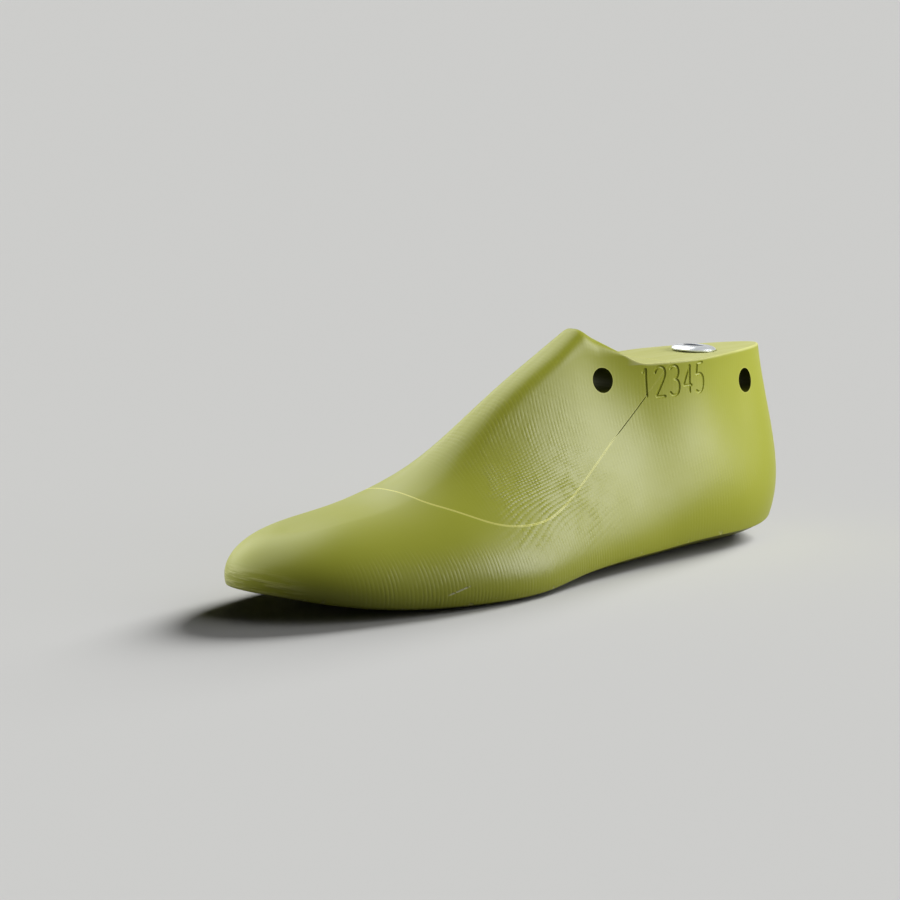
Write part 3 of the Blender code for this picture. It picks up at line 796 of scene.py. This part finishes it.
# the figures' strokes, on a grid 6 wide and 12 high
FIGURE_GRID = (6, 12)
ONE = [[(3.6, 12), (3.6, 0)], [(3.6, 12), (1.6, 9.8)]]
TWO = [[(0.3, 9.2), (0.8, 10.9), (2.0, 11.8), (3.4, 12), (4.8, 11.5), (5.7, 10.2), (5.7, 8.6),
        (5.0, 6.9), (3.4, 4.4), (1.6, 1.9), (0.2, 0)], [(0.2, 0), (6.2, 0)]]
THREE = [[(0.4, 10.4), (1.3, 11.5), (2.9, 12), (4.5, 11.4), (5.3, 10.1), (5.2, 8.4),
          (4.2, 7.1), (2.6, 6.6)],
         [(2.6, 6.6), (4.5, 6.1), (5.7, 4.8), (5.9, 3.1), (5.2, 1.2), (3.6, 0.1), (1.8, 0.2),
          (0.2, 1.8)]]
FOUR = [[(4.3, 12), (4.3, 0)], [(4.3, 12), (0.2, 3.4)], [(0.2, 3.4), (6.2, 3.4)]]
FIVE = [[(5.4, 12), (1.1, 12)], [(1.1, 12), (0.7, 6.9)],
        [(0.7, 6.9), (2.2, 7.6), (3.9, 7.4), (5.3, 6.2), (5.8, 4.4), (5.4, 2.2), (4.1, 0.5),
         (2.3, 0), (0.3, 1.2)]]


def lateral_point(tree, x, z):
    """Where a side-view place lies on the last's lateral side, and its normal."""
    place, normal, *_ = tree.ray_cast(Vector((x, -SPAN, z)), Vector((0, 1, 0)))
    return place, normal


def groove(name, tree, stroke):
    """A round cutter's path along a stroke on the lateral side."""
    corners = np.array(stroke, float)
    knots = np.concatenate([[0], np.cumsum(np.linalg.norm(np.diff(corners, axis=0), axis=1))])
    spots = np.linspace(0, knots[-1], max(int(knots[-1] / GROOVE_STEP), 4))
    path = spline(knots, corners, spots)
    centres = []
    for x, z in path:
        place, normal = lateral_point(tree, x, z)
        centres.append(place + normal * GROOVE_LIFT)
    radii = [GROOVE_RADIUS] * len(centres)
    for i, narrowed in enumerate(GROOVE_ENDS):
        radii[i] = radii[-1 - i] = GROOVE_RADIUS * narrowed
    mesh = bmesh.new()
    rings = []
    for i, centre in enumerate(centres):
        run = (centres[min(i + 1, len(centres) - 1)] - centres[max(i - 1, 0)]).normalized()
        side = run.cross(Vector((0, 1, 0))).normalized()
        rise = side.cross(run)
        rings.append([mesh.verts.new(centre + (side * math.cos(turn) + rise * math.sin(turn))
                                     * radii[i])
                      for turn in np.linspace(0, 2 * math.pi, GROOVE_SIDES, endpoint=False)])
    for ring, following in zip(rings, rings[1:]):
        for k in range(GROOVE_SIDES):
            n = (k + 1) % GROOVE_SIDES
            mesh.faces.new((ring[k], following[k], following[n], ring[n]))
    mesh.faces.new(rings[0])
    mesh.faces.new(rings[-1])
    data = keep_mesh(mesh, bpy.data.meshes.new(name))
    data.materials.append(plastic)
    return add_piece(name, data)


surface = BVHTree.FromPolygons([v.co for v in blank.vertices],
                               [tuple(p.vertices) for p in blank.polygons])
grooves = []
for place, digit in enumerate((ONE, TWO, THREE, FOUR, FIVE)):
    for number, stroke in enumerate(digit):
        moved = [(MARK_START[0] + place * MARK_PITCH + u * MARK_WIDTH / FIGURE_GRID[0],
                  MARK_START[1] + v * MARK_HEIGHT / FIGURE_GRID[1]) for u, v in stroke]
        grooves.append(groove(f"groove_{place}_{number}", surface, moved))


# The dowels: two slotted spring pins stand in the seat and lean with the block's way out. Two
# brass bushes in the block slide down over them, so the block always seats in the same place.
PIN_DIAMETER = 5.0
PIN_WALL = 1.0
PIN_SLOT = 0.9
PIN_CHAMFER = 0.5
PIN_IN_BODY = 14.0
PIN_IN_BLOCK = 13.0
PIN_X = -40.0
PIN_SPACING = 20.0
PIN_FACETS = 48
BUSH_WALL = 1.5
BUSH_LEAD = BUSH_WALL / 3
BUSH_LENGTH = 10.0
BUSH_RECESS = 4.5
BUSH_FACETS = 64
LIFT_ANGLE = math.radians(52.0)

# colour and roughness
SPRING_STEEL = ((0.42, 0.42, 0.43), 0.32)
BRASS = ((0.80, 0.60, 0.28), 0.26)


def metal(name, colour, roughness):
    material, tree, shader = new_material(name)
    place = tree.nodes.new("ShaderNodeTexCoord").outputs["Object"]
    wear_and_highlight = speckle(tree, place, 0.5, 3.0)
    connect(tree, shader.inputs["Base Color"],
            tint(tree, wear_and_highlight, tuple(c * 0.8 for c in colour), colour))
    connect(tree, shader.inputs["Roughness"],
            ramp(tree, wear_and_highlight, 0.3, 0.7, roughness - 0.06, roughness + 0.08))
    shader.inputs["Metallic"].default_value = 1.0
    return material


def pin_place(side):
    """Where a pin leaves the seat, with its axis along the block's way out."""
    curve, _ = scoop_curve()
    height = float(np.interp(PIN_X, curve[3:, 0], curve[3:, 1]))
    return (Matrix.Translation((PIN_X, side * PIN_SPACING / 2, height))
            @ Matrix.Rotation(math.radians(90) - LIFT_ANGLE, 4, "Y"))


def slotted_pin(name):
    """A chamfered tube with a slot down its whole length."""
    outer = PIN_DIAMETER / 2
    inner = outer - PIN_WALL
    stations = [(-PIN_IN_BODY, PIN_CHAMFER), (-PIN_IN_BODY + PIN_CHAMFER, 0),
                (PIN_IN_BLOCK - PIN_CHAMFER, 0), (PIN_IN_BLOCK, PIN_CHAMFER)]
    mesh = bmesh.new()
    rings = []
    for height, taper in stations:
        rings.append([])
        for radius in (outer - taper, inner):
            start = math.asin(PIN_SLOT / 2 / radius)
            turns = np.linspace(start, 2 * math.pi - start, PIN_FACETS + 1)
            rings[-1].append([mesh.verts.new((radius * math.cos(a), radius * math.sin(a), height))
                              for a in turns])
    for low, high in zip(rings, rings[1:]):
        for skin in (0, 1):
            for k in range(PIN_FACETS):
                mesh.faces.new((low[skin][k], low[skin][k + 1], high[skin][k + 1], high[skin][k]))
        for k in (0, PIN_FACETS):
            mesh.faces.new((low[0][k], low[1][k], high[1][k], high[0][k]))
    for ring in (rings[0], rings[-1]):
        for k in range(PIN_FACETS):
            mesh.faces.new((ring[0][k], ring[0][k + 1], ring[1][k + 1], ring[1][k]))
    return keep_mesh(mesh, bpy.data.meshes.new(name))


spring_steel = metal("spring_steel_dull", *SPRING_STEEL)
brass = metal("brass_turned", *BRASS)
bush_inner = PIN_DIAMETER / 2 + GAP
bush_outer = bush_inner + BUSH_WALL
bush_top = BUSH_RECESS + BUSH_LENGTH
bush_profile = [(bush_inner + BUSH_LEAD, BUSH_RECESS), (bush_outer, BUSH_RECESS),
                (bush_outer, bush_top), (bush_inner, bush_top),
                (bush_inner, BUSH_RECESS + BUSH_LEAD)]
pin_holes, bush_holes = [], []
for side_name, side in (("lateral", -1), ("medial", 1)):
    place = pin_place(side)
    data = slotted_pin("pin_" + side_name)
    data.transform(place)
    data.materials.append(spring_steel)
    pin = add_piece("pin_" + side_name, data)
    finish_piece(pin, "last", "spring_steel", "dowel_pin_" + side_name)
    data = turned("bush_" + side_name, bush_profile, BUSH_FACETS)
    data.transform(place)
    data.materials.append(brass)
    sleeve = add_piece("bush_" + side_name, data)
    finish_piece(sleeve, "block", "brass", "pin_bush_" + side_name)
    pin_holes.append(drill("pin_hole_" + side_name, PIN_DIAMETER / 2 + GAP,
                           -PIN_IN_BODY - END_GAP, SPAN / 2, place, drilled, PIN_FACETS))
    bush_holes.append(drill("bush_hole_" + side_name, bush_outer + GAP, -SPAN / 2,
                            bush_top + END_GAP, place, drilled, BUSH_FACETS))


# The two plastic pieces: the body keeps the toe, the sole and the heel, and the instep block
# carries the cone. Both are cut from the one blank, so the surface runs on over the saw cut.
SAW_CUT_STEPS = 16
EDGE_STEPS = 4


def store_distances(data):
    """Keep on each point how far it is from the saw cut, the feather edge and the rim."""
    curve, _ = scoop_curve()
    saw_line = np.column_stack([curve[:, 0], 0 * curve[:, 0], curve[:, 1]])
    feather = np.vstack([feather_line, feather_line[:1]])
    rim = np.vstack([crest_line, crest_line[:1]])
    for name, line, steps in (("from_saw_cut", saw_line, SAW_CUT_STEPS),
                              ("from_feather", feather, EDGE_STEPS),
                              ("from_rim", rim, EDGE_STEPS)):
        on = np.arange(steps)[:, None, None] / steps
        line = (line[:-1] * (1 - on) + line[1:] * on).reshape(-1, 3)
        tree = KDTree(len(line))
        for i, point in enumerate(line):
            tree.insert(point, i)
        tree.balance()
        values = []
        for vertex in data.vertices:
            point = vertex.co.copy()
            if name == "from_saw_cut":
                point.y = 0.0
            values.append(tree.find(point)[2])
        data.attributes.new(name, "FLOAT", "POINT").data.foreach_set("value", values)


def plastic_piece(name, body, node, first, operation, others):
    """Saw one plastic piece from the blank, then drill it and cut the mark into it."""
    piece = add_piece(name, blank.copy())
    cut(piece, first, operation)
    for cutter in others:
        cut(piece, cutter)
    graph = bpy.context.evaluated_depsgraph_get()
    data = bpy.data.meshes.new_from_object(piece.evaluated_get(graph))
    piece.modifiers.clear()
    piece.data = data
    store_distances(data)
    finish_piece(piece, body, "green_polyethylene", node, angle=35.0)


plastic_piece("last_plastic", "last", "last_body", seat_cutter, "DIFFERENCE",
              [rear_drill, well, spot_face, *pin_holes, *grooves])
plastic_piece("instep_plastic", "block", "instep_block", block_cutter, "INTERSECT",
              [front_drill, *bush_holes, *grooves])
for cutter in (seat_cutter, block_cutter, front_drill, rear_drill, well, spot_face,
               *pin_holes, *bush_holes, *grooves):
    bpy.data.objects.remove(cutter, do_unlink=True)


# The studio: a pale seamless floor, a softbox close to the heel on the camera's right and a
# wide light at the back. The floor has a light and a weaker fill of its own, and it is darker
# for the light that it throws up onto the last.
PALE = (0.604, 0.604, 0.591)
AMBIENT = 0.01
FLOOR_COLOUR = (0.59, 0.59, 0.578)
FLOOR_BOUNCE = (0.08, 0.08, 0.079)
FLOOR_REACH = 20.0
FLOOR_SINK = -0.0002

# where each light stands, in degrees round from the heel and above the floor, and its strength
SOFTBOX_PLACE = (-40, 22)
SOFTBOX_DISTANCE = 0.40
SOFTBOX_WIDTH = 0.24
SOFTBOX_POWER = 1.32
SOFTBOX_AIM = (0, 0, 0.045)
BACK_PLACE = (105, 43)
BACK_STRENGTH = 3.25
BACK_SPREAD = 84
FLOOR_LIGHT_PLACE = (8, 27)
FLOOR_LIGHT_STRENGTH = 5.8
FLOOR_LIGHT_SPREAD = 26
FLOOR_FILL_PLACE = (-50, 35)
FLOOR_FILL_STRENGTH = 1.0
FLOOR_FILL_SPREAD = 60


def seen_directly(tree):
    """1 where the camera looks, also by way of metal or glass, and 0 for bounced light."""
    paths = tree.nodes.new("ShaderNodeLightPath")
    return maths(tree, "MAXIMUM", paths.outputs["Is Camera Ray"],
                 maths(tree, "MAXIMUM", paths.outputs["Is Glossy Ray"],
                       paths.outputs["Is Transmission Ray"]))


floor_data = bpy.data.meshes.new("studio_floor")
corners = [(x * FLOOR_REACH, y * FLOOR_REACH, FLOOR_SINK)
           for x, y in ((-1, -1), (1, -1), (1, 1), (-1, 1))]
floor_data.from_pydata(corners, [], [(0, 1, 2, 3)])
floor = add_piece("studio_floor", floor_data)
material, tree, shader = new_material("pale_floor")
connect(tree, shader.inputs["Base Color"],
        tint(tree, seen_directly(tree), FLOOR_BOUNCE, FLOOR_COLOUR))
shader.inputs["Roughness"].default_value = 0.9
shader.inputs["Specular IOR Level"].default_value = 0.0
floor_data.materials.append(material)


def towards(degrees_round, degrees_up):
    """The direction at so many degrees round from the heel and above the floor."""
    a = math.radians(degrees_round)
    e = math.radians(degrees_up)
    return Vector((math.cos(e) * math.cos(a), math.cos(e) * math.sin(a), math.sin(e)))


def add_lamp(light, direction, place, lit):
    """Put up a lamp that shines from a direction, and only onto what it is for."""
    lamp = bpy.data.objects.new(light.name, light)
    lamp.location = place
    lamp.rotation_mode = "QUATERNION"
    lamp.rotation_quaternion = direction.to_track_quat("Z", "Y")
    lamp.visible_camera = False
    bpy.context.scene.collection.objects.link(lamp)
    receivers = bpy.data.collections.new(light.name + "_lights")
    for piece in lit:
        receivers.objects.link(piece)
    lamp.light_linking.receiver_collection = receivers


def far_light(name, direction, strength, spread, lit):
    """A light from far away that fills a round patch of the studio, spread degrees wide."""
    light = bpy.data.lights.new(name, "SUN")
    light.energy = strength
    light.angle = math.radians(spread)
    add_lamp(light, direction, (0, 0, 0), lit)


def near_softbox(name, direction, distance_off, width, power, aim, lit):
    """A round softbox that stands close by and faces what it is aimed at."""
    light = bpy.data.lights.new(name, "AREA")
    light.shape = "DISK"
    light.size = width
    light.energy = power
    add_lamp(light, direction, Vector(aim) + direction * distance_off, lit)


pieces = [item for item in bpy.context.scene.objects if item.type == "MESH" and item != floor]
near_softbox("right_softbox", towards(*SOFTBOX_PLACE), SOFTBOX_DISTANCE, SOFTBOX_WIDTH,
             SOFTBOX_POWER, SOFTBOX_AIM, pieces)
far_light("back_light", towards(*BACK_PLACE), BACK_STRENGTH, BACK_SPREAD, pieces)
far_light("floor_light", towards(*FLOOR_LIGHT_PLACE), FLOOR_LIGHT_STRENGTH, FLOOR_LIGHT_SPREAD,
          [floor])
far_light("floor_fill", towards(*FLOOR_FILL_PLACE), FLOOR_FILL_STRENGTH, FLOOR_FILL_SPREAD,
          [floor])

world = bpy.data.worlds.new("studio")
bpy.context.scene.world = world
world.use_nodes = True
tree = world.node_tree
shown = tree.nodes["Background"]
shown.inputs["Color"].default_value = (*PALE, 1.0)
shown.inputs["Strength"].default_value = 1.0
ambient = tree.nodes.new("ShaderNodeBackground")
ambient.inputs["Color"].default_value = (1.0, 1.0, 1.0, 1.0)
ambient.inputs["Strength"].default_value = AMBIENT
mixer = tree.nodes.new("ShaderNodeMixShader")
connect(tree, mixer.inputs[0], seen_directly(tree))
connect(tree, mixer.inputs[1], ambient.outputs[0])
connect(tree, mixer.inputs[2], shown.outputs[0])
connect(tree, tree.nodes["World Output"].inputs["Surface"], mixer.outputs[0])
bpy.context.scene.view_settings.view_transform = "Standard"


# The camera: a long lens 1.3 m away, 44 degrees round from the lateral side towards the toe
# and 10 degrees above the bench, aimed a little beside the last so that it sits as pictured.
CAMERA_ROUND = math.radians(43.76)
CAMERA_DOWN = math.radians(10.02)
CAMERA_DISTANCE = 1301.0
CAMERA_AIM_HEIGHT = 40.0
FOCAL_PIXELS = 3280.0
PICTURE = 900.0
SENSOR = 36.0
ASIDE_PIXELS = (72.4, 20.3)
FARTHEST = 60.0
look = Vector((math.sin(CAMERA_ROUND) * math.cos(CAMERA_DOWN),
               math.cos(CAMERA_ROUND) * math.cos(CAMERA_DOWN), -math.sin(CAMERA_DOWN)))
right = Vector((math.cos(CAMERA_ROUND), -math.sin(CAMERA_ROUND), 0))
up = right.cross(look)
place = Vector((0, 0, CAMERA_AIM_HEIGHT)) - look * CAMERA_DISTANCE
aim = (look - right * ASIDE_PIXELS[0] / FOCAL_PIXELS
       + up * ASIDE_PIXELS[1] / FOCAL_PIXELS).normalized()
right = aim.cross(up).normalized()
up = right.cross(aim)
turn = Matrix((right, up, -aim)).transposed().to_4x4()
lens = bpy.data.cameras.new("camera")
lens.lens = FOCAL_PIXELS * SENSOR / PICTURE
lens.sensor_width = SENSOR
lens.clip_end = FARTHEST
camera = bpy.data.objects.new("camera", lens)
bpy.context.scene.collection.objects.link(camera)
camera.matrix_world = Matrix.Translation(DRAWING_TO_FRAME @ (place * MM)) @ turn
bpy.context.scene.camera = camera
